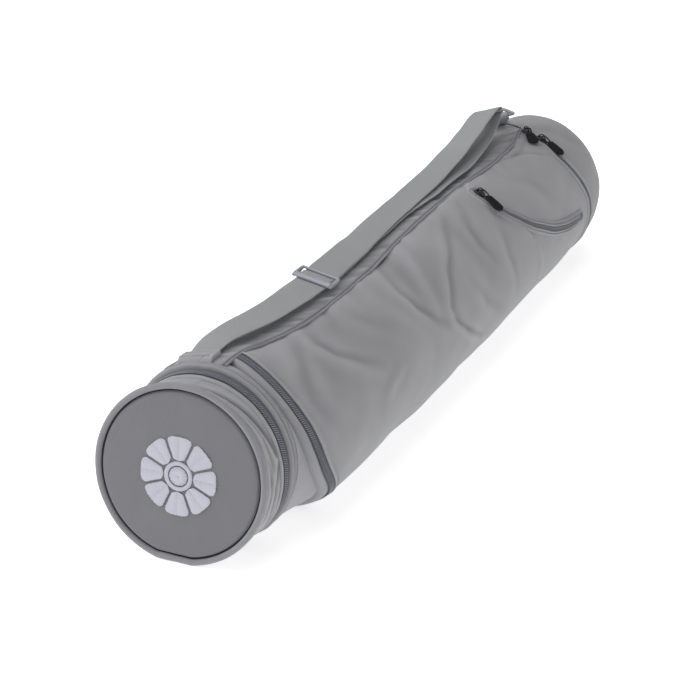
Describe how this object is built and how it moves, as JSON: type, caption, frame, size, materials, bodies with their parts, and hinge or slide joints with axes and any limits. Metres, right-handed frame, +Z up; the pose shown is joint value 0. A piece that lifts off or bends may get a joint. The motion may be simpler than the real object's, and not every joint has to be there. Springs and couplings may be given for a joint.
{
  "type": "yoga mat bag",
  "caption": "Soft zipped tube bag for a rolled yoga mat, lying on its side, with a stiff round base, an extension zip, a pocket zip and an adjustable webbing shoulder strap.",
  "frame": {"origin": "middle of the outer box's underside, on the floor", "axes": "+Z up, X along the bag with the stiff round base towards -X, pocket zip on the side that faces -Y"},
  "size_m": [0.7824, 0.1862, 0.191],
  "materials": {
    "bag_cloth": "light grey woven polyester, matt",
    "base_cloth": "darker grey woven polyester, matt",
    "edge_cloth": "grey piping cloth, matt",
    "strap_webbing": "grey ribbed webbing, matt",
    "zip_tape": "dark blue-grey zip tape and coil",
    "stitch_thread": "pale lavender-grey embroidery thread",
    "fitting_nylon": "light grey moulded nylon, satin",
    "slider_metal": "black lacquered zip slider",
    "grip_rubber": "black moulded rubber grip"
  },
  "bodies": {
    "bag": {"base_disc": "base_cloth", "base_piping": "edge_cloth", "base_rosette": "stitch_thread", "base_band": "bag_cloth", "base_zip": "zip_tape", "base_welt": "bag_cloth", "gusset": "bag_cloth", "expansion_zip": "zip_tape", "main_panel": "bag_cloth", "main_zip": "zip_tape", "spine_panel": "bag_cloth", "spine_cord_right": "edge_cloth", "spine_cord_left": "edge_cloth", "end_cap": "bag_cloth", "pocket_zip": "zip_tape", "strap_buckle": "fitting_nylon", "strap_ring": "fitting_nylon", "strap": "strap_webbing", "ring_tab": "strap_webbing", "strap_patch": "bag_cloth", "main_first_slider": "slider_metal", "main_second_slider": "slider_metal", "pocket_slider": "slider_metal"},
    "main_first_puller": {"main_first_puller_link": "slider_metal", "main_first_puller_grip": "grip_rubber"},
    "main_second_puller": {"main_second_puller_link": "slider_metal", "main_second_puller_grip": "grip_rubber"},
    "pocket_puller": {"pocket_puller_link": "slider_metal", "pocket_puller_grip": "grip_rubber"}
  },
  "joints": [
    {"name": "main_first_puller_hinge", "type": "hinge", "parent": "bag", "child": "main_first_puller", "pos_m": [0.29993, -0.00873, 0.16086], "axis": [-0.6538, 0.7548, 0.0534], "range_deg": [0, 100]},
    {"name": "main_second_puller_hinge", "type": "hinge", "parent": "bag", "child": "main_second_puller", "pos_m": [0.29566, -0.02935, 0.15678], "axis": [-0.9939, 0.1046, 0.0343], "range_deg": [0, 100]},
    {"name": "pocket_puller_hinge", "type": "hinge", "parent": "bag", "child": "pocket_puller", "pos_m": [0.12424, -0.03423, 0.15904], "axis": [-0.9632, 0.2552, 0.0848], "range_deg": [0, 150]}
  ]
}
